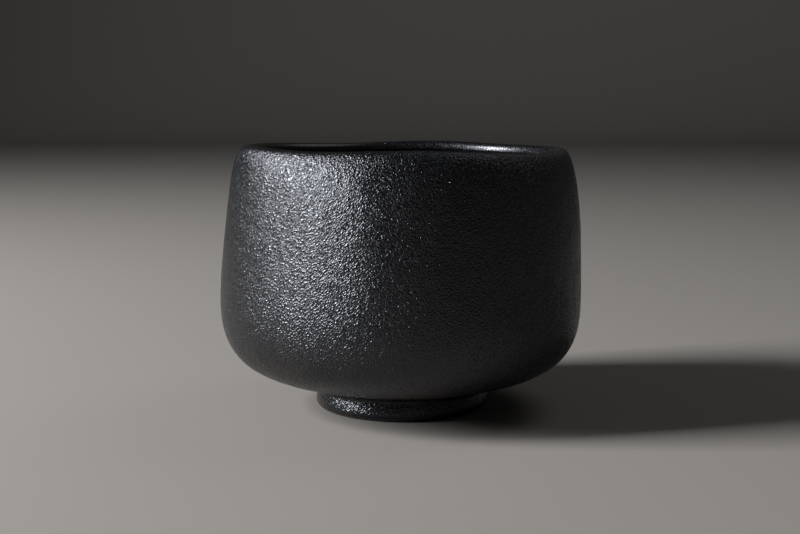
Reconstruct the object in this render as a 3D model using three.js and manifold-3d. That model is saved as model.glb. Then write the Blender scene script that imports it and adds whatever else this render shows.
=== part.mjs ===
// Raku tea bowl: a pinched clay bowl on a clay foot ring, coated all over in black glaze.
// Millimetres, +Z up. The bowl stands on z = 0, and the axis of its foot is x = y = 0.
import * as THREE from 'three';
import { mergeVertices } from 'three/addons/utils/BufferGeometryUtils.js';
import Module from 'manifold-3d';

// Outside of the finished bowl
const bellyRadius = 57.9;
const bellyHeight = 35.9;
const waistPull = 20.9;
const bellyPull = 15.6;
const rimRadius = 50.2;
const rimHeight = 83.7;
const lipOutsideWidth = 4;
const shoulderDrop = 5.3;
const shoulderLean = 16.8;
const shoulderPull = 6.8;
const undersideSlope = 11.7;
const undersidePull = 22.2;

// Inside of the finished bowl
const lipInsideWidth = 2;
const lipInsideDrop = 2.6;
const lipInsideFlare = 9;
const wallThickness = 6;
const insideBellyRise = 1.5;
const insideUpperPull = 15;
const insideLowerPull = 14.5;
const floorThickness = 9.9;
const floorPull = 19;
const poolRadius = 21;
const poolDepth = 2.2;
const poolEdgePull = 7;
const poolFloorPull = 12;

// Foot ring and the recess inside it
const footRadius = 27.2;
const footHeight = 7.4;
const footWidth = 9.4;
const footBulge = 0.7;
const footEdgeRound = 2.4;
const footInnerRound = 1.4;
const recessDepth = 7.2;
const recessPeak = 0.8;
const recessPeakRadius = 6;
const seatDepth = 1.9;

// Glaze coat, and the gap that keeps neighbouring solids apart
const glazeThickness = 0.9;
const layerGap = 0.3;
const clayDepth = glazeThickness + layerGap;

// Bare scars under the foot, left by the kiln spurs
const scarCount = 5;
const scarRadius = 1.5;
const scarSides = 12;
const scarTurn = 36;
const scarMargin = 1;

// Marks of the hand: angles in degrees from +X, counter-clockwise seen from above
const ovalAmount = 0.35;
const ovalAngle = 62;
const leanAmount = 0.8;
const leanStart = 14;
const shapeFade = 14;
const rimTilt = 0.3;
const rollAmount = 0.2;
const rollAngle = -6;
const rollSpread = 55;
const rollReach = 13;
const pressedFlats = [
  { angle: -126, spread: 19, height: 54, reach: 34, depth: 0.9 },
  { angle: -101, spread: 11, height: 58, reach: 30, depth: -0.4 },
  { angle: -66, spread: 24, height: 47, reach: 30, depth: 0.45 },
  { angle: 8, spread: 26, height: 42, reach: 24, depth: 0.3 },
  { angle: 61, spread: 25, height: 58, reach: 32, depth: 0.85 },
  { angle: 130, spread: 22, height: 50, reach: 32, depth: 0.6 },
  { angle: 180, spread: 28, height: 34, reach: 24, depth: -0.85 },
];
const rimPeaks = [
  { angle: -155, spread: 19, rise: 0.8 },
  { angle: -86, spread: 20, rise: 0.7 },
  { angle: -38, spread: 22, rise: -0.6 },
  { angle: 4, spread: 20, rise: 0.2 },
  { angle: 78, spread: 22, rise: 0.7 },
  { angle: 115, spread: 24, rise: -0.35 },
  { angle: 162, spread: 26, rise: 0.5 },
];
const waveReach = 34;

// Facets
const turns = 40;
const roundness = 0.5523;
const steps = { underside: 9, wall: 6, shoulder: 4, lip: 4, insideWall: 5, insideTurn: 7, pool: 4 };
const footSteps = 3;

const degrees = Math.PI / 180;
const at = (radius, height) => new THREE.Vector2(radius, height);

// A cubic curve from start to end, without its first point
function curve(start, startHandle, endHandle, end, count) {
  const bezier = new THREE.CubicBezierCurve(start, startHandle, endHandle, end);
  return bezier.getPoints(count).slice(1);
}

// A smooth step from 0 to 1 as value runs from low to high
function smooth(value, low, high) {
  return THREE.MathUtils.smoothstep(value, low, high);
}

// A round bump of height 1, as wide as its spread, at an angle round the bowl
function bumpAround(angle, centre, spread) {
  const away = THREE.MathUtils.euclideanModulo(angle - centre + 180, 360) - 180;
  return Math.exp(-((away / spread) ** 2));
}

// The finished surface from the foot, up the outside and over the lip
function outsidePath() {
  const joint = at(footRadius, footHeight);
  const slope = undersideSlope * degrees;
  const jointHandle = at(
    joint.x + undersidePull * Math.cos(slope),
    joint.y + undersidePull * Math.sin(slope),
  );
  const belly = at(bellyRadius, bellyHeight);
  const shoulder = at(rimRadius + lipOutsideWidth, rimHeight - shoulderDrop);
  const lean = shoulderLean * degrees;
  const shoulderHandle = at(
    shoulder.x + shoulderPull * Math.sin(lean),
    shoulder.y - shoulderPull * Math.cos(lean),
  );
  const crown = at(rimRadius, rimHeight);
  const rise = roundness * shoulderDrop;
  const lipEnd = at(rimRadius - lipInsideWidth, rimHeight - lipInsideDrop);
  const fall = roundness * lipInsideDrop;
  const flare = Math.tan(lipInsideFlare * degrees);
  return [
    joint,
    ...curve(joint, jointHandle, at(belly.x, belly.y - waistPull), belly, steps.underside),
    ...curve(belly, at(belly.x, belly.y + bellyPull), shoulderHandle, shoulder, steps.wall),
    ...curve(
      shoulder,
      at(shoulder.x - rise * Math.tan(lean), shoulder.y + rise),
      at(crown.x + roundness * lipOutsideWidth, crown.y),
      crown,
      steps.shoulder,
    ),
    ...curve(
      crown,
      at(crown.x - roundness * lipInsideWidth, crown.y),
      at(lipEnd.x - fall * flare, lipEnd.y + fall),
      lipEnd,
      steps.lip,
    ),
  ];
}

// The finished surface from inside the lip down to the middle of the tea pool
function insidePath(lipEnd) {
  const flare = lipInsideFlare * degrees;
  const down = at(Math.sin(flare), -Math.cos(flare));
  const start = lipEnd.clone().addScaledVector(down, layerGap);
  const belly = at(bellyRadius - wallThickness, bellyHeight + insideBellyRise);
  const floorTop = footHeight + floorThickness;
  const poolEdge = at(poolRadius, floorTop);
  const centre = at(0, floorTop - poolDepth);
  return [
    start,
    ...curve(
      start,
      start.clone().addScaledVector(down, insideUpperPull),
      at(belly.x, belly.y + insideUpperPull),
      belly,
      steps.insideWall,
    ),
    ...curve(
      belly,
      at(belly.x, belly.y - insideLowerPull),
      at(poolEdge.x + floorPull, poolEdge.y),
      poolEdge,
      steps.insideTurn,
    ),
    ...curve(
      poolEdge,
      at(poolEdge.x - poolEdgePull, poolEdge.y),
      at(poolFloorPull, centre.y),
      centre,
      steps.pool,
    ),
  ];
}

// The finished surface of the foot, from the recess, under the ring and up its outside
function footPath() {
  const inner = footRadius - footWidth;
  const widest = footRadius + footBulge;
  const outerEdge = at(widest - footEdgeRound, 0);
  const outerTurn = at(widest, footEdgeRound);
  const innerTurn = at(inner, footInnerRound);
  const innerEdge = at(inner + footInnerRound, 0);
  const keep = 1 - roundness;
  return [
    at(inner, recessDepth + glazeThickness),
    innerTurn,
    ...curve(
      innerTurn,
      at(inner, footInnerRound * keep),
      at(inner + footInnerRound * keep, 0),
      innerEdge,
      footSteps,
    ),
    outerEdge,
    ...curve(
      outerEdge,
      at(widest - footEdgeRound * keep, 0),
      at(widest, footEdgeRound * keep),
      outerTurn,
      footSteps,
    ),
    at(footRadius, footHeight - layerGap),
  ];
}

// The path moved to the left of its own direction, which is into the clay
function sunk(path, depth) {
  return path.map((point, i) => {
    const before = path[Math.max(i - 1, 0)];
    const after = path[Math.min(i + 1, path.length - 1)];
    const along = after.clone().sub(before).normalize();
    const onAxis = point.x === 0;
    const radius = onAxis ? 0 : point.x - along.y * depth;
    return at(radius, point.y + along.x * depth);
  });
}

// A coat of glaze on a path, as a closed outline
function coat(surface, back) {
  return [...surface, ...back.toReversed()];
}

// How the hands moved a point of the turned shape
function handShape(point) {
  const angle = Math.atan2(point.y, point.x) / degrees;
  const grown = smooth(point.z, footHeight, footHeight + shapeFade);
  const aroundOval = Math.cos(2 * (angle - ovalAngle) * degrees);
  let radial = ovalAmount * aroundOval;
  for (const flat of pressedFlats) {
    const upDown = Math.exp(-(((point.z - flat.height) / flat.reach) ** 2));
    radial -= flat.depth * bumpAround(angle, flat.angle, flat.spread) * upDown;
  }
  const nearRim = smooth(point.z, rimHeight - rollReach, rimHeight);
  const rolled = rollAmount * nearRim * bumpAround(angle, rollAngle, rollSpread);
  const scale = 1 + (radial * grown - rolled) / bellyRadius;
  const leaned = leanAmount * smooth(point.z, leanStart, rimHeight);
  const waved = smooth(point.z, rimHeight - waveReach, rimHeight);
  let rise = -rimTilt * Math.cos(angle * degrees);
  for (const peak of rimPeaks) {
    rise += peak.rise * bumpAround(angle, peak.angle, peak.spread);
  }
  return new THREE.Vector3(
    point.x * scale + leaned,
    point.y * scale,
    point.z + rise * waved,
  );
}

// A solid turned round the axis from an outline, then shaped by hand
function turned(outline) {
  const closed = outline[0].x === 0 ? [...outline] : [...outline, outline[0]];
  const geometry = new THREE.LatheGeometry(closed, turns);
  geometry.rotateX(Math.PI / 2);
  geometry.deleteAttribute('normal');
  geometry.deleteAttribute('uv');
  const position = geometry.getAttribute('position');
  const point = new THREE.Vector3();
  for (let i = 0; i < position.count; i += 1) {
    point.fromBufferAttribute(position, i);
    const moved = handShape(point);
    position.setXYZ(i, moved.x, moved.y, moved.z);
  }
  return geometry;
}

const wasm = await Module();
wasm.setup();

// A closed geometry as a solid for cutting
function solid(geometry) {
  const merged = mergeVertices(geometry, 1e-4);
  return new wasm.Manifold(
    new wasm.Mesh({
      numProp: 3,
      vertProperties: new Float32Array(merged.getAttribute('position').array),
      triVerts: new Uint32Array(merged.index.array),
    }),
  );
}

// The solid's surface as a geometry again
function surfaceOf(body) {
  const mesh = body.getMesh();
  const geometry = new THREE.BufferGeometry();
  geometry.setAttribute('position', new THREE.BufferAttribute(mesh.vertProperties, 3));
  geometry.setIndex(new THREE.BufferAttribute(mesh.triVerts, 1));
  return geometry;
}

// The foot's coat with a round bare spot where each kiln spur held it
function scarredFoot(geometry) {
  let body = solid(geometry);
  const middle = footRadius - footWidth / 2;
  const height = glazeThickness + layerGap / 2 + scarMargin;
  for (let i = 0; i < scarCount; i += 1) {
    const angle = (scarTurn + (360 * i) / scarCount) * degrees;
    const cutter = new THREE.CylinderGeometry(scarRadius, scarRadius, height, scarSides);
    cutter.deleteAttribute('normal');
    cutter.deleteAttribute('uv');
    cutter.rotateX(Math.PI / 2);
    cutter.translate(
      middle * Math.cos(angle),
      middle * Math.sin(angle),
      height / 2 - scarMargin,
    );
    body = body.subtract(solid(cutter));
  }
  return surfaceOf(body);
}

// A named piece with its own material
function piece(name, geometry, color, roughness) {
  geometry.computeVertexNormals();
  const material = new THREE.MeshStandardMaterial({ color, roughness, metalness: 0 });
  const mesh = new THREE.Mesh(geometry, material);
  mesh.name = name;
  return mesh;
}

const outside = outsidePath();
const inside = insidePath(outside.at(-1));
const surface = [...outside, ...inside];
const glazeBack = sunk(surface, glazeThickness);
const clayFace = sunk([...outside, ...inside.slice(1)], clayDepth);

const foot = footPath();
const footGlazeBack = sunk(foot, glazeThickness);
const footClayFace = sunk(foot, clayDepth);
const ringInner = footClayFace[0].x;
const ringOuter = footClayFace.at(-1).x;
const recessCeiling = recessDepth + clayDepth;
const seatHeight = recessCeiling + seatDepth;
const seatInner = ringInner - layerGap;
const seatOuter = ringOuter + layerGap;

// The bowl's own clay: recess ceiling, seat for the ring, outside, lip, inside
const bowlClay = [
  at(0, recessCeiling - recessPeak),
  at(recessPeakRadius, recessCeiling),
  at(seatInner, recessCeiling),
  at(seatInner, seatHeight),
  at(seatOuter, seatHeight),
  at(seatOuter, clayFace[0].y),
  ...clayFace,
];

// The ring of clay that stands in that seat
const ringTop = seatHeight - layerGap;
const ringClay = [
  at(ringInner, ringTop),
  ...footClayFace,
  at(ringOuter, ringTop),
];

// The coat on the recess ceiling
const wellEdge = footRadius - footWidth - layerGap;
const wellCoat = [
  at(0, recessDepth - recessPeak),
  at(recessPeakRadius, recessDepth),
  at(wellEdge, recessDepth),
  at(wellEdge, recessDepth + glazeThickness),
  at(recessPeakRadius, recessDepth + glazeThickness),
  at(0, recessDepth - recessPeak + glazeThickness),
];

const outsideCount = outside.length;
const outerCoat = coat(outside, glazeBack.slice(0, outsideCount));
const innerCoat = [...glazeBack.slice(outsideCount).toReversed(), ...inside];
const footCoat = coat(foot, footGlazeBack);

const bowl = new THREE.Group();
bowl.add(
  piece('clay_body', turned(bowlClay), '#6b5648', 0.85),
  piece('foot_ring', turned(ringClay), '#6b5648', 0.85),
  piece('outer_glaze', turned(outerCoat), '#0d0d0f', 0.3),
  piece('inner_glaze', turned(innerCoat), '#0c0c0e', 0.25),
  piece('foot_glaze', scarredFoot(turned(footCoat)), '#0d0d0f', 0.22),
  piece('foot_well_glaze', turned(wellCoat), '#0d0d0f', 0.3),
);

export default bowl;
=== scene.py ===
import math

import bmesh
import bpy
import numpy as np
from mathutils import Matrix, Vector


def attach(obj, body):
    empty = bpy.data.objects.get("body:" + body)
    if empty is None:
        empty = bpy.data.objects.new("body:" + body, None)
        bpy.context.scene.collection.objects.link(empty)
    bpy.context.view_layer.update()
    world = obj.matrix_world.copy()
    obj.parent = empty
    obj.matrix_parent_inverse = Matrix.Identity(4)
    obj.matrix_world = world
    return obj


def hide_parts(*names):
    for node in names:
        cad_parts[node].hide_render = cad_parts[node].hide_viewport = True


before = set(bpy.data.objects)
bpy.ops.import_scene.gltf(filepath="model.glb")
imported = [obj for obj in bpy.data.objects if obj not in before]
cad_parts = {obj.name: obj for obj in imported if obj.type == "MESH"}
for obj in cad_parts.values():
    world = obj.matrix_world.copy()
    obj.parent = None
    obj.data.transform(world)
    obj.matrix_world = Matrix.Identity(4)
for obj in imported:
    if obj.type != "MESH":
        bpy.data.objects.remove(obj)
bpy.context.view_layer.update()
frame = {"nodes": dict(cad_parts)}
print("frame loaded:", ", ".join(frame["nodes"]))

# Raku tea bowl. Lengths in the dictionaries are millimetres and angles are degrees, those round
# the bowl from +X.
mm = 0.001
roundness = 0.5523  # how far a cubic curve's handle stands out on a quarter circle
sharpAngle = 55  # edges that turn more than this stay crisp


# Camera, placed first: in front of the bowl, a little above its rim, looking slightly down
view = {"distance": 426.2, "height": 98.9, "aside": -0.6, "pitch": 7.21, "lens": 59.67, "sensor": 36}

cameraData = bpy.data.cameras.new("viewCamera")
cameraData.lens = view["lens"]
cameraData.sensor_width = view["sensor"]
cameraData.clip_start = 0.01
camera = bpy.data.objects.new("viewCamera", cameraData)
camera.location = (view["aside"] * mm, -view["distance"] * mm, view["height"] * mm)
camera.rotation_euler = (math.radians(90 - view["pitch"]), 0, 0)
bpy.context.collection.objects.link(camera)
bpy.context.scene.camera = camera
bpy.context.scene.view_settings.view_transform = "Standard"
print("camera placed")


# Shaping helpers

def bezier(start, startHandle, endHandle, end, count=160):
    t = np.linspace(0, 1, count)[:, None]
    points = [np.array(p, float) for p in (start, startHandle, endHandle, end)]
    weights = [(1 - t) ** 3, 3 * (1 - t) ** 2 * t, 3 * (1 - t) * t ** 2, t ** 3]
    return sum(w * p for w, p in zip(weights, points))


def joined(*stretches):
    first = [np.atleast_2d(np.array(stretches[0], float))]
    return np.concatenate(first + [np.atleast_2d(np.array(s, float))[1:] for s in stretches[1:]])


def respaced(path, spacing):
    # the same path with points about this far apart, its two ends kept
    lengths = np.concatenate([[0], np.cumsum(np.hypot(*np.diff(path, axis=0).T))])
    count = max(2, int(round(lengths[-1] / spacing)) + 1)
    stations = np.linspace(0, lengths[-1], count)
    return np.stack([np.interp(stations, lengths, path[:, k]) for k in (0, 1)], axis=1)


def sunk(path, depth):
    # the path moved to the left of its own direction, which is into the clay
    along = np.gradient(path, axis=0)
    along /= np.hypot(along[:, 0], along[:, 1])[:, None]
    moved = path + depth * np.stack([-along[:, 1], along[:, 0]], axis=1)
    moved[path[:, 0] == 0, 0] = 0
    return moved


def smoothStep(value, low, high):
    t = np.clip((value - low) / (high - low), 0, 1)
    return t * t * (3 - 2 * t)


def bumpAround(angle, centre, spread):
    away = np.mod(angle - centre + 180, 360) - 180
    return np.exp(-(away / spread) ** 2)


# The bowl's cross-section, as radius and height, shared by its outside and inside
bowl = {
    "footRadius": 27.2, "footHeight": 7.4, "undersideSlope": 11.7, "undersidePull": 22.2,
    "bellyRadius": 57.9, "bellyHeight": 35.9, "waistPull": 20.9, "bellyPull": 15.6,
    "rimRadius": 50.2, "rimHeight": 83.7, "lipOutsideWidth": 4, "shoulderDrop": 5.3,
    "shoulderLean": 16.8, "shoulderPull": 6.8,
    "lipInsideWidth": 2, "lipInsideDrop": 2.6, "lipInsideFlare": 9,
    "wallThickness": 6, "insideBellyRise": 1.5, "insideUpperPull": 15, "insideLowerPull": 14.5,
    "floorThickness": 9.9, "floorPull": 19,
    "poolRadius": 21, "poolDepth": 2.2, "poolEdgePull": 7, "poolFloorPull": 12,
    "glaze": 0.9, "seam": 0.02,
    # the small hollow where the underside runs into the foot
    "fillet": 1.6, "filletReach": 1.6, "filletRise": 0.35, "filletRun": 0.45, "filletPoints": 40,
    "undersidePoints": 400,
    "fineSpacing": 0.72, "coarseSpacing": 5, "turns": 480,
}


# Marks of the hand, the same on every layer
hand = {
    "shapeFade": 14, "ovalAmount": 0.35, "ovalAngle": 62,
    "leanAmount": 0.8, "leanStart": 14,
    "rimTilt": 0.3, "waveReach": 34,
    "rollAmount": 0.2, "rollAngle": -6, "rollSpread": 55, "rollReach": 13,
    # pressed flats: angle, spread, height, reach, depth
    "flats": [
        (-126, 19, 54, 34, 0.9), (-101, 11, 58, 30, -0.4), (-66, 24, 47, 30, 0.45),
        (8, 26, 42, 24, 0.3), (61, 25, 58, 32, 0.85), (130, 22, 50, 32, 0.6), (180, 28, 34, 24, -0.85),
    ],
    # rim peaks: angle, spread, rise
    "peaks": [
        (-155, 19, 0.8), (-86, 20, 0.7), (-38, 22, -0.6), (4, 20, 0.2), (78, 22, 0.7), (115, 24, -0.35),
        (162, 26, 0.5),
    ],
}


def handShape(points):
    x, y, z = points.T
    angle = np.degrees(np.arctan2(y, x))
    footHeight, rimHeight = bowl["footHeight"], bowl["rimHeight"]
    grown = smoothStep(z, footHeight, footHeight + hand["shapeFade"])
    radial = hand["ovalAmount"] * np.cos(np.radians(2 * (angle - hand["ovalAngle"])))
    for centre, spread, height, reach, depth in hand["flats"]:
        radial -= depth * bumpAround(angle, centre, spread) * np.exp(-((z - height) / reach) ** 2)
    nearRim = smoothStep(z, rimHeight - hand["rollReach"], rimHeight)
    rolled = hand["rollAmount"] * nearRim * bumpAround(angle, hand["rollAngle"], hand["rollSpread"])
    scale = 1 + (radial * grown - rolled) / bowl["bellyRadius"]
    leaned = hand["leanAmount"] * smoothStep(z, hand["leanStart"], rimHeight)
    rise = -hand["rimTilt"] * np.cos(np.radians(angle))
    for centre, spread, height in hand["peaks"]:
        rise += height * bumpAround(angle, centre, spread)
    waved = smoothStep(z, rimHeight - hand["waveReach"], rimHeight)
    return np.stack([x * scale + leaned, y * scale, z + rise * waved], axis=1)


def spunPiece(name, outline, turns, ripple):
    # outline in mm, spun round the axis, shaped by hand and rippled, as one closed mesh
    sectors = 12  # one sector is spun and turned copies of it close the ring, which is quicker
    weld = 0.0005
    bm = bmesh.new()
    verts = [bm.verts.new((r, 0, z)) for r, z in outline]
    edges = [bm.edges.new(pair) for pair in zip(verts, verts[1:])]
    if outline[0][0] > 0:
        edges.append(bm.edges.new((verts[-1], verts[0])))
    bmesh.ops.spin(
        bm, geom=verts + edges, axis=(0, 0, 1), cent=(0, 0, 0),
        steps=turns // sectors, angle=math.tau / sectors, use_merge=False,
    )
    sector = bm.verts[:] + bm.edges[:] + bm.faces[:]
    for k in range(1, sectors):
        copied = bmesh.ops.duplicate(bm, geom=sector)["geom"]
        bmesh.ops.rotate(
            bm, verts=[v for v in copied if isinstance(v, bmesh.types.BMVert)],
            cent=(0, 0, 0), matrix=Matrix.Rotation(math.tau * k / sectors, 3, "Z"),
        )
    bmesh.ops.remove_doubles(bm, verts=bm.verts, dist=weld)
    bmesh.ops.recalc_face_normals(bm, faces=bm.faces)
    mesh = bpy.data.meshes.new(name)
    bm.to_mesh(mesh)
    bm.free()
    count = len(mesh.vertices)
    flat = np.empty(count * 3)
    mesh.vertices.foreach_get("co", flat)
    turned = flat.reshape(-1, 3)
    shaped = handShape(turned)
    normals = np.empty(count * 3, dtype=np.float32)
    mesh.vertex_normals.foreach_get("vector", normals)
    shaped += normals.reshape(-1, 3) * ripple(shaped, turned)[:, None]
    mesh.vertices.foreach_set("co", (shaped * mm).ravel())
    mesh.update()
    for polygon in mesh.polygons:
        polygon.use_smooth = True
    mesh.set_sharp_from_angle(angle=math.radians(sharpAngle))
    piece = bpy.data.objects.new(name, mesh)
    bpy.context.collection.objects.link(piece)
    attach(piece, "root")
    print(name, "has", sum(len(p.vertices) - 2 for p in mesh.polygons), "triangles")
    return piece


def noiseHeights(points, wavelength, stretch, seed):
    # smooth gradient noise, about -0.7 to 0.7, the same on every run
    scaled = points / wavelength * np.array(stretch) + seed
    cell = np.floor(scaled).astype(np.int64)
    inside = scaled - cell
    fade = inside ** 3 * (inside * (inside * 6 - 15) + 10)
    total = np.zeros(len(points))
    for corner in np.ndindex(2, 2, 2):
        x, y, z = (cell + corner).T
        mixed = (x * 73856093) ^ (y * 19349663) ^ (z * 83492791)
        mixed = ((mixed ^ (mixed >> 13)) * 1274126177) & 0xFFFFFFFF
        mixed = ((mixed ^ (mixed >> 15)) * 2246822519) & 0xFFFFFFFF
        slopes = np.stack([mixed & 1023, (mixed >> 10) & 1023, (mixed >> 20) & 1023], axis=1) / 511.5 - 1
        weight = np.prod(np.where(corner, fade, 1 - fade), axis=1)
        total += weight * np.sum(slopes * (inside - corner), axis=1)
    return total


def outsidePath(b):
    slope = math.radians(b["undersideSlope"])
    lean = math.radians(b["shoulderLean"])
    flare = math.tan(math.radians(b["lipInsideFlare"]))
    joint = np.array([b["footRadius"], b["footHeight"]])
    leave = joint + b["fillet"] * b["filletReach"] * np.array([math.cos(slope), math.sin(slope)])
    tuck = joint - [0, b["fillet"]]
    jointHandle = joint + b["undersidePull"] * np.array([math.cos(slope), math.sin(slope)])
    belly = np.array([b["bellyRadius"], b["bellyHeight"]])
    shoulder = np.array([b["rimRadius"] + b["lipOutsideWidth"], b["rimHeight"] - b["shoulderDrop"]])
    shoulderHandle = shoulder + b["shoulderPull"] * np.array([math.sin(lean), -math.cos(lean)])
    crown = np.array([b["rimRadius"], b["rimHeight"]])
    rise = roundness * b["shoulderDrop"]
    lipEnd = crown - [b["lipInsideWidth"], b["lipInsideDrop"]]
    fall = roundness * b["lipInsideDrop"]
    underside = bezier(joint, jointHandle, belly - [0, b["waistPull"]], belly, b["undersidePoints"])
    underside = underside[underside[:, 0] > leave[0]]
    fillet = bezier(
        tuck, joint - [0, b["fillet"] * b["filletRise"]],
        joint + (leave - joint) * b["filletRun"], underside[0], b["filletPoints"],
    )
    return joined(
        fillet,
        underside,
        bezier(belly, belly + [0, b["bellyPull"]], shoulderHandle, shoulder),
        bezier(
            shoulder, shoulder + [-rise * math.tan(lean), rise],
            crown + [roundness * b["lipOutsideWidth"], 0], crown,
        ),
        bezier(
            crown, crown - [roundness * b["lipInsideWidth"], 0],
            lipEnd + [-fall * flare, fall], lipEnd,
        ),
    )


def insidePath(b, lipEnd):
    flare = math.radians(b["lipInsideFlare"])
    down = np.array([math.sin(flare), -math.cos(flare)])
    start = lipEnd + down * b["seam"]
    belly = np.array([b["bellyRadius"] - b["wallThickness"], b["bellyHeight"] + b["insideBellyRise"]])
    floorTop = b["footHeight"] + b["floorThickness"]
    poolEdge = np.array([b["poolRadius"], floorTop])
    centre = np.array([0, floorTop - b["poolDepth"]])
    return joined(
        bezier(start, start + down * b["insideUpperPull"], belly + [0, b["insideUpperPull"]], belly),
        bezier(belly, belly - [0, b["insideLowerPull"]], poolEdge + [b["floorPull"], 0], poolEdge),
        bezier(poolEdge, poolEdge - [b["poolEdgePull"], 0], (b["poolFloorPull"], centre[1]), centre),
    )


# Skin of the coat: finger-wide swells, then the crawled leather, and a soft arris left by the
# hand in front. All of it dies out on the lip's inner edge and at the foot.
skin = {
    # each layer: height, wavelength, stretch, seed
    "swell": (0.3, 16, (1, 1, 1), 3.1), "leather": (0.13, 4.6, (1, 1, 0.8), 11.7),
    "grain": (0.07, 2.2, (1, 1, 0.85), 27.3),
    # where it starts and has wholly calmed: below the rim, above the foot
    "lipBelow": (6.7, 1.7), "lipCalm": 0.7, "footAbove": (-0.7, 4.1),
    # the arris stands here, turns a little on its way down and grows from the belly up
    "arrisHeight": 0.42, "arrisAngle": -103, "arrisTurn": 5, "arrisTurnSpan": (83.7, 20),
    "arrisReach": 7, "arrisGrows": (22, 45), "seamMargin": 0.1,
    # inside the bowl
    "insideSwell": (0.2, 18, (1, 1, 1), 5.4), "insideLeather": (0.07, 4.6, (1, 1, 1), 41.2),
    "insideBelow": (8.7, 2.8),
}


def noiseLayer(points, layer):
    height, wavelength, stretch, seed = layer
    return noiseHeights(points, wavelength, stretch, seed) * height


def bodyRipple(points, turned):
    z = turned[:, 2]
    skinHeight = sum(noiseLayer(points, skin[name]) for name in ("swell", "leather", "grain"))
    lipStart, lipFull = (bowl["rimHeight"] - below for below in skin["lipBelow"])
    lip = 1 - skin["lipCalm"] * smoothStep(z, lipStart, lipFull)
    reach = np.hypot(turned[:, 0], turned[:, 1])
    innerEdge = bowl["rimRadius"] - bowl["lipInsideWidth"] + skin["seamMargin"]
    seam = smoothStep(reach, innerEdge, bowl["rimRadius"])
    seam = np.where(z > lipStart, seam, 1)
    footStart, footFull = (bowl["footHeight"] + above for above in skin["footAbove"])
    angle = np.degrees(np.arctan2(turned[:, 1], turned[:, 0]))
    crestAngle = skin["arrisAngle"] + skin["arrisTurn"] * smoothStep(z, *skin["arrisTurnSpan"])
    away = np.mod(angle - crestAngle + 180, 360) - 180
    arris = np.exp(-np.sqrt(away ** 2 + 1) / skin["arrisReach"]) * smoothStep(z, *skin["arrisGrows"])
    return (skinHeight + skin["arrisHeight"] * arris) * lip * smoothStep(z, footStart, footFull) * seam


outside = respaced(outsidePath(bowl), bowl["fineSpacing"])
inside = respaced(insidePath(bowl, outside[-1]), bowl["fineSpacing"])
inside[-1, 0] = 0
outsideBack = respaced(sunk(outside, bowl["glaze"]), bowl["coarseSpacing"])
insideBack = respaced(sunk(inside, bowl["glaze"]), bowl["coarseSpacing"])
insideBack[-1, 0] = 0

outerGlaze = spunPiece("outerGlaze", np.concatenate([outside, outsideBack[::-1]]), bowl["turns"], bodyRipple)
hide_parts("outer_glaze")


def insideRipple(points, turned):
    skinHeight = noiseLayer(points, skin["insideSwell"]) + noiseLayer(points, skin["insideLeather"])
    lipStart, lipFull = (bowl["rimHeight"] - below for below in skin["insideBelow"])
    return skinHeight * (1 - smoothStep(turned[:, 2], lipStart, lipFull))


innerGlaze = spunPiece("innerGlaze", np.concatenate([insideBack[::-1], inside]), bowl["turns"], insideRipple)
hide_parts("inner_glaze")
print("bowl coats spun")


# Foot ring coat and the coat in its recess
foot = {
    "radius": bowl["footRadius"], "height": bowl["footHeight"], "width": 9.4,
    "bulge": 0.7, "edgeRound": 2.4, "innerRound": 1.4, "recessDepth": 7.2, "recessFillet": 1.5,
    "lean": 0.45, "leanReach": 1.6, "swellReach": 0.6,
    "spacing": 0.45, "backSpacing": 1.6, "curvePoints": 40, "turns": 360,
    "leather": (0.16, 5, (1, 1, 1), 61.5), "grain": (0.05, 2.2, (1, 1, 1), 71.9),
    "calmBelow": (0.25, 2.2), "calmAbove": 1,
    "scars": 5, "scarRadius": 1.5, "scarFlare": 0.35, "scarTurn": 36, "scarDepth": 1.4, "scarSides": 36,
}


def footTop(f):
    return f["height"] - bowl["fillet"] - bowl["seam"]


def footPath(f):
    inner = f["radius"] - f["width"]
    widest = f["radius"] + f["bulge"]
    keep = 1 - roundness
    top = footTop(f)
    innerTurn = (inner, f["innerRound"])
    innerEdge = (inner + f["innerRound"], 0)
    outerEdge = (widest - f["edgeRound"], 0)
    outerTurn = (widest, f["edgeRound"])
    return joined(
        [(inner, f["recessDepth"] - f["recessFillet"]), innerTurn],
        bezier(
            innerTurn, (inner, f["innerRound"] * keep),
            (inner + f["innerRound"] * keep, 0), innerEdge, f["curvePoints"],
        ),
        [innerEdge, outerEdge],
        bezier(
            outerEdge, (widest - f["edgeRound"] * keep, 0),
            (widest, f["edgeRound"] * keep), outerTurn, f["curvePoints"],
        ),
        bezier(
            outerTurn, (widest, top * f["swellReach"]),
            (f["radius"] + f["lean"], top - f["leanReach"]), (f["radius"], top), f["curvePoints"],
        ),
    )


def footRipple(points, turned):
    # flat underneath and still at the joint
    z = turned[:, 2]
    height = noiseLayer(points, foot["leather"]) + noiseLayer(points, foot["grain"])
    joint = smoothStep(z, footTop(foot) - foot["calmAbove"], footTop(foot))
    return height * smoothStep(z, *foot["calmBelow"]) * (1 - joint)


footSurface = respaced(footPath(foot), foot["spacing"])
footBack = respaced(sunk(footSurface, bowl["glaze"]), foot["backSpacing"])
footGlaze = spunPiece("footGlaze", np.concatenate([footSurface, footBack[::-1]]), foot["turns"], footRipple)


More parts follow.
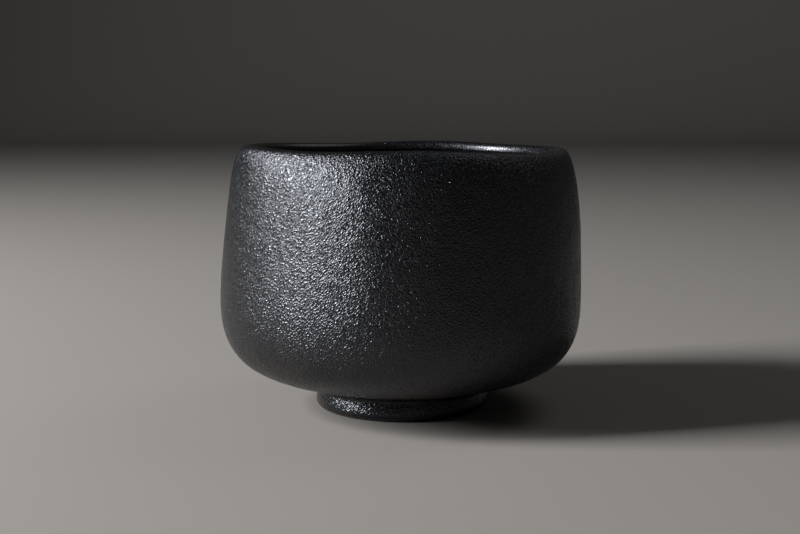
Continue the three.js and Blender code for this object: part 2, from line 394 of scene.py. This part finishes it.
def cutScars(piece, f):
    # five bare spots under the ring, where the bowl stood on clay spurs in the kiln
    bm = bmesh.new()
    middle = f["radius"] - f["width"] / 2
    for k in range(f["scars"]):
        turn = math.radians(f["scarTurn"] + 360 * k / f["scars"])
        place = Vector((middle * math.cos(turn) * mm, middle * math.sin(turn) * mm, 0))
        bmesh.ops.create_cone(
            bm, cap_ends=True, segments=f["scarSides"], radius1=(f["scarRadius"] + f["scarFlare"]) * mm,
            radius2=(f["scarRadius"] - f["scarFlare"]) * mm, depth=2 * f["scarDepth"] * mm,
            matrix=Matrix.Translation(place),
        )
    mesh = bpy.data.meshes.new("spurCutter")
    bm.to_mesh(mesh)
    bm.free()
    cutter = bpy.data.objects.new("spurCutter", mesh)
    bpy.context.collection.objects.link(cutter)
    cut = piece.modifiers.new("spurScars", "BOOLEAN")
    cut.operation = "DIFFERENCE"
    cut.object = cutter
    evaluated = piece.evaluated_get(bpy.context.evaluated_depsgraph_get())
    carved = bpy.data.meshes.new_from_object(evaluated)
    piece.modifiers.remove(cut)
    piece.data = carved
    piece.data.name = piece.name
    bpy.data.objects.remove(cutter)


cutScars(footGlaze, foot)
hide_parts("foot_glaze")

# The recess: a low peak left by the tool in the middle, a flat ceiling and a filleted edge
well = {
    "edge": foot["radius"] - foot["width"], "ceiling": foot["recessDepth"], "fillet": foot["recessFillet"],
    "peak": 0.8, "peakRadius": 8, "peakPull": (3, 4),
    "filletPull": 0.6, "filletPoints": 30, "backMargin": 0.1, "spacing": 0.5,
    "leather": (0.16, 5, (1, 1, 1), 83.3), "calmFrom": (12, 15.5),
}


def wellPath(w):
    peakPull, endPull = w["peakPull"]
    peakTop = w["ceiling"] - w["peak"]
    path = respaced(joined(
        bezier((0, peakTop), (peakPull, peakTop), (endPull, w["ceiling"]), (w["peakRadius"], w["ceiling"])),
        [(w["peakRadius"], w["ceiling"]), (w["edge"] - w["fillet"], w["ceiling"])],
        bezier(
            (w["edge"] - w["fillet"], w["ceiling"]), (w["edge"] - w["filletPull"], w["ceiling"]),
            (w["edge"], w["ceiling"] - w["filletPull"]), (w["edge"], w["ceiling"] - w["fillet"]),
            w["filletPoints"],
        ),
    ), w["spacing"])
    path[0, 0] = 0
    return path


def wellBack(w):
    outer = w["edge"] + w["backMargin"]
    return [
        (outer, w["ceiling"] - w["fillet"] + bowl["seam"]),
        (outer, w["ceiling"] + bowl["glaze"]),
        (0, w["ceiling"] + bowl["glaze"] - w["peak"]),
    ]


def wellRipple(points, turned):
    reach = np.hypot(turned[:, 0], turned[:, 1])
    return noiseLayer(points, well["leather"]) * (1 - smoothStep(reach, *well["calmFrom"]))


wellOutline = np.concatenate([wellPath(well), wellBack(well)])
wellGlaze = spunPiece("wellGlaze", wellOutline, foot["turns"], wellRipple)
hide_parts("foot_well_glaze")
print("foot coats spun")


# Materials

def linearColour(code):
    # sRGB hex to linear, with alpha 1
    channels = [int(code[i:i + 2], 16) / 255 for i in (1, 3, 5)]
    return [c / 12.92 if c <= 0.04045 else ((c + 0.055) / 1.055) ** 2.4 for c in channels] + [1]


def addNode(tree, kind, settings=None, inputs=None):
    node = tree.nodes.new(kind)
    for name, value in (settings or {}).items():
        setattr(node, name, value)
    for name, value in (inputs or {}).items():
        if isinstance(value, bpy.types.NodeSocket):
            tree.links.new(value, node.inputs[name])
        else:
            node.inputs[name].default_value = value
    return node


def newMaterial(name):
    material = bpy.data.materials.new(name)
    material.use_nodes = True
    tree = material.node_tree
    tree.nodes.clear()
    output = tree.nodes.new("ShaderNodeOutputMaterial")
    coords = tree.nodes.new("ShaderNodeTexCoord").outputs["Object"]
    return material, tree, output, coords


# Black lead glaze, brushed on thick and fired fast: a deep black glass with a crawled, leathery
# skin that breaks the light into small glints. The warm brown in patches low on the bowl is a
# painted reflection of the warm floor.
glazeLook = {
    "deep": "#060608", "paintedWarmReflection": "#1f140d", "sheen": "#eef4ff", "ior": 1.65,
    "pitRough": 0.46, "crestRough": 0.2,
    # sizes of the patterns, and where each one's value starts and stops to count. The grain is
    # drawn coarser than the finest real one, which is too fine to show.
    "grain": 0.38, "grainDetail": 0.4, "grainSpan": (0.38, 0.6), "crawl": 0.9, "crawlDetail": 1.0,
    "cloud": 14, "cloudDetail": 3.0, "cloudSpan": (0.42, 0.66), "pinhole": 2.6, "pinholeSpan": (0.03, 0.12),
    "grainBump": 0.32, "crawlBump": 0.1, "pinholeBump": 0.2,
    # painted reflection of the floor: heights in mm where the warm brown is full and where it is gone
    "paintedWarmReflectionLow": 8, "paintedWarmReflectionHigh": 34,
    # the brush ran up and to the right across the front: the way that side faces, slant, stretch
    "strokeFacing": -125, "strokeSlant": -45, "strokeStretch": 1.8,
    # the glaze drew smooth over the lip: heights and radii where the grain dies out there
    "lipLow": 74, "lipHigh": 78, "lipInner": 50.4, "lipOuter": 52.2, "lipGrain": 0.2,
}


def blackGlaze(name, look):
    material, tree, output, coords = newMaterial(name)
    facing = math.radians(look["strokeFacing"])
    slant = Matrix.Rotation(math.radians(look["strokeSlant"]), 3, (math.cos(facing), math.sin(facing), 0))
    tilted = addNode(tree, "ShaderNodeMapping", {"vector_type": "TEXTURE"}, {
        "Vector": coords, "Rotation": slant.to_euler(), "Scale": (1.0, 1.0, look["strokeStretch"]),
    }).outputs["Vector"]
    grain = addNode(tree, "ShaderNodeTexNoise", None, {
        "Vector": tilted, "Scale": 1 / (look["grain"] * mm), "Detail": look["grainDetail"],
    }).outputs["Fac"]
    crawl = addNode(tree, "ShaderNodeTexNoise", None, {
        "Vector": tilted, "Scale": 1 / (look["crawl"] * mm), "Detail": look["crawlDetail"],
    }).outputs["Fac"]
    cloud = addNode(tree, "ShaderNodeTexNoise", None, {
        "Vector": coords, "Scale": 1 / (look["cloud"] * mm), "Detail": look["cloudDetail"],
    }).outputs["Fac"]
    holes = addNode(tree, "ShaderNodeTexVoronoi", None, {
        "Vector": coords, "Scale": 1 / (look["pinhole"] * mm),
    }).outputs["Distance"]
    pits = addNode(tree, "ShaderNodeMapRange", {"interpolation_type": "SMOOTHSTEP"}, {
        "Value": holes, "From Min": look["pinholeSpan"][0], "From Max": look["pinholeSpan"][1],
    }).outputs["Result"]
    height = addNode(tree, "ShaderNodeSeparateXYZ", None, {"Vector": coords}).outputs["Z"]
    # painted reflection of the warm floor: brown in cloud patches, only low on the bowl
    low = addNode(tree, "ShaderNodeMapRange", {"interpolation_type": "SMOOTHSTEP"}, {
        "Value": height, "From Min": look["paintedWarmReflectionLow"] * mm, "From Max": look["paintedWarmReflectionHigh"] * mm,
        "To Min": 1.0, "To Max": 0.0,
    }).outputs["Result"]
    patches = addNode(tree, "ShaderNodeMapRange", {"interpolation_type": "SMOOTHSTEP"}, {
        "Value": cloud, "From Min": look["cloudSpan"][0], "From Max": look["cloudSpan"][1],
    }).outputs["Result"]
    paintedWarmReflectionMask = addNode(tree, "ShaderNodeMath", {"operation": "MULTIPLY"}, {0: patches, 1: low}).outputs[0]
    flatCoords = addNode(tree, "ShaderNodeVectorMath", {"operation": "MULTIPLY"}, {
        0: coords, 1: (1.0, 1.0, 0.0),
    }).outputs["Vector"]
    reach = addNode(tree, "ShaderNodeVectorMath", {"operation": "LENGTH"}, {0: flatCoords}).outputs["Value"]
    insideLip = addNode(tree, "ShaderNodeMapRange", {"interpolation_type": "SMOOTHSTEP"}, {
        "Value": reach, "From Min": look["lipInner"] * mm, "From Max": look["lipOuter"] * mm,
        "To Min": 1.0, "To Max": 0.0,
    }).outputs["Result"]
    highUp = addNode(tree, "ShaderNodeMapRange", {"interpolation_type": "SMOOTHSTEP"}, {
        "Value": height, "From Min": look["lipLow"] * mm, "From Max": look["lipHigh"] * mm,
    }).outputs["Result"]
    onLip = addNode(tree, "ShaderNodeMath", {"operation": "MULTIPLY"}, {0: insideLip, 1: highUp}).outputs[0]
    grainLeft = addNode(tree, "ShaderNodeMapRange", None, {
        "Value": onLip, "To Min": 1.0, "To Max": look["lipGrain"],
    }).outputs["Result"]
    # base colour runs from deep black to the painted warm floor reflection
    colour = addNode(tree, "ShaderNodeValToRGB", None, {"Fac": paintedWarmReflectionMask})
    colour.color_ramp.elements[0].color = linearColour(look["deep"])
    colour.color_ramp.elements[1].color = linearColour(look["paintedWarmReflection"])
    rough = addNode(tree, "ShaderNodeMapRange", None, {
        "Value": grain, "From Min": look["grainSpan"][0], "From Max": look["grainSpan"][1],
        "To Min": look["pitRough"], "To Max": look["crestRough"],
    }).outputs["Result"]
    pitBump = addNode(tree, "ShaderNodeBump", None, {
        "Height": pits, "Strength": 1.0, "Distance": look["pinholeBump"] * mm,
    }).outputs["Normal"]
    crawlBump = addNode(tree, "ShaderNodeBump", None, {
        "Height": crawl, "Strength": grainLeft, "Distance": look["crawlBump"] * mm, "Normal": pitBump,
    }).outputs["Normal"]
    normal = addNode(tree, "ShaderNodeBump", None, {
        "Height": grain, "Strength": grainLeft, "Distance": look["grainBump"] * mm, "Normal": crawlBump,
    }).outputs["Normal"]
    shader = addNode(tree, "ShaderNodeBsdfPrincipled", None, {
        "Base Color": colour.outputs["Color"], "Roughness": rough, "IOR": look["ior"], "Normal": normal,
        "Specular Tint": linearColour(look["sheen"]),
    })
    tree.links.new(shader.outputs["BSDF"], output.inputs["Surface"])
    return material


outerGlaze.data.materials.append(blackGlaze("leatheryBlackLeadGlaze", glazeLook))
# the same glaze lay down smoother inside the bowl, and came out glossier on the foot
innerLook = {**glazeLook, "pitRough": 0.3, "crestRough": 0.2, "grainBump": 0.04, "crawlBump": 0.08}
innerGlaze.data.materials.append(blackGlaze("smoothBlackLeadGlaze", innerLook))
footLook = {**glazeLook, "pitRough": 0.3, "crestRough": 0.12, "grainBump": 0.24, "crawlBump": 0.12}
footMaterial = blackGlaze("glossyBlackFootGlaze", footLook)
footGlaze.data.materials.append(footMaterial)
wellGlaze.data.materials.append(footMaterial)


# Biscuit-fired coarse clay: dry, matt and warm grey brown, with sand in it
clayLook = {
    "light": "#8a7260", "dark": "#5d4a3c", "roughness": 0.88,
    "sand": 0.5, "sandDetail": 3.0, "sandBump": 0.12,
    "cloud": 9, "cloudDetail": 4.0, "cloudSpan": (0.35, 0.65),
}


def biscuitClay(name, look):
    material, tree, output, coords = newMaterial(name)
    sand = addNode(tree, "ShaderNodeTexNoise", None, {
        "Vector": coords, "Scale": 1 / (look["sand"] * mm), "Detail": look["sandDetail"],
    }).outputs["Fac"]
    cloud = addNode(tree, "ShaderNodeTexNoise", None, {
        "Vector": coords, "Scale": 1 / (look["cloud"] * mm), "Detail": look["cloudDetail"],
    }).outputs["Fac"]
    colour = addNode(tree, "ShaderNodeValToRGB", None, {"Fac": cloud})
    for stop, position, code in zip(
        colour.color_ramp.elements, look["cloudSpan"], (look["dark"], look["light"]),
    ):
        stop.position = position
        stop.color = linearColour(code)
    normal = addNode(tree, "ShaderNodeBump", None, {
        "Height": sand, "Strength": 1.0, "Distance": look["sandBump"] * mm,
    }).outputs["Normal"]
    shader = addNode(tree, "ShaderNodeBsdfPrincipled", None, {
        "Base Color": colour.outputs["Color"], "Roughness": look["roughness"], "Normal": normal,
    })
    tree.links.new(shader.outputs["BSDF"], output.inputs["Surface"])
    return material


clay = biscuitClay("biscuitFiredClay", clayLook)
for node in ("clay_body", "foot_ring"):
    for slot in bpy.data.objects[node].material_slots:
        slot.material = clay
print("materials made")


# Pale studio paper: a floor that sweeps up behind the bowl
studio = {
    "paper": "#96928e", "roughness": 0.9, "halfWidth": 3000, "front": -2500, "back": 2600,
    "sweep": 900, "sweepSteps": 16, "height": 3400,
}


def sweptFloor(s):
    bm = bmesh.new()
    profile = [(s["front"], 0), (s["back"], 0)]
    for i in range(1, s["sweepSteps"] + 1):
        turn = math.radians(90 * i / s["sweepSteps"])
        profile.append((s["back"] + s["sweep"] * math.sin(turn), s["sweep"] * (1 - math.cos(turn))))
    profile.append((s["back"] + s["sweep"], s["height"]))
    verts = [bm.verts.new((-s["halfWidth"] * mm, y * mm, z * mm)) for y, z in profile]
    edges = [bm.edges.new(pair) for pair in zip(verts, verts[1:])]
    across = bmesh.ops.extrude_edge_only(bm, edges=edges)
    moved = [v for v in across["geom"] if isinstance(v, bmesh.types.BMVert)]
    bmesh.ops.translate(bm, verts=moved, vec=(2 * s["halfWidth"] * mm, 0, 0))
    mesh = bpy.data.meshes.new("studioFloor")
    bm.to_mesh(mesh)
    bm.free()
    for polygon in mesh.polygons:
        polygon.use_smooth = True
    sweep = bpy.data.objects.new("studioFloor", mesh)
    bpy.context.collection.objects.link(sweep)
    return sweep


floor = sweptFloor(studio)
floorMaterial, tree, output, coords = newMaterial("paleStudioPaper")
floorShader = addNode(tree, "ShaderNodeBsdfPrincipled", None, {
    "Base Color": linearColour(studio["paper"]), "Roughness": studio["roughness"],
})
tree.links.new(floorShader.outputs["BSDF"], output.inputs["Surface"])
floor.data.materials.append(floorMaterial)


# Soft light: one large lamp like a window at the left, a weak one behind to the right, a dim room
lamps = [
    {"name": "keyLamp", "azimuth": 190, "elevation": 25, "distance": 1400, "size": (430, 680), "watts": 38},
    {"name": "fillLamp", "azimuth": 30, "elevation": 55, "distance": 1400, "size": (700, 700), "watts": 1.4},
]
aimHeight = 45
room = {"colour": "#ffffff", "strength": 0.03}
for lamp in lamps:
    light = bpy.data.lights.new(lamp["name"], "AREA")
    light.shape = "RECTANGLE"
    light.size = lamp["size"][0] * mm
    light.size_y = lamp["size"][1] * mm
    light.energy = lamp["watts"]
    turn = math.radians(lamp["azimuth"])
    lift = math.radians(lamp["elevation"])
    reach = lamp["distance"] * mm
    place = Vector((math.cos(turn) * math.cos(lift), math.sin(turn) * math.cos(lift), math.sin(lift)))
    holder = bpy.data.objects.new(lamp["name"], light)
    holder.location = Vector((0, 0, aimHeight * mm)) + place * reach
    holder.rotation_euler = (-place).to_track_quat("-Z", "Y").to_euler()
    bpy.context.collection.objects.link(holder)

world = bpy.data.worlds.new("dimRoom")
bpy.context.scene.world = world
world.use_nodes = True
background = world.node_tree.nodes["Background"]
background.inputs["Color"].default_value = linearColour(room["colour"])
background.inputs["Strength"].default_value = room["strength"]
print("studio lit")
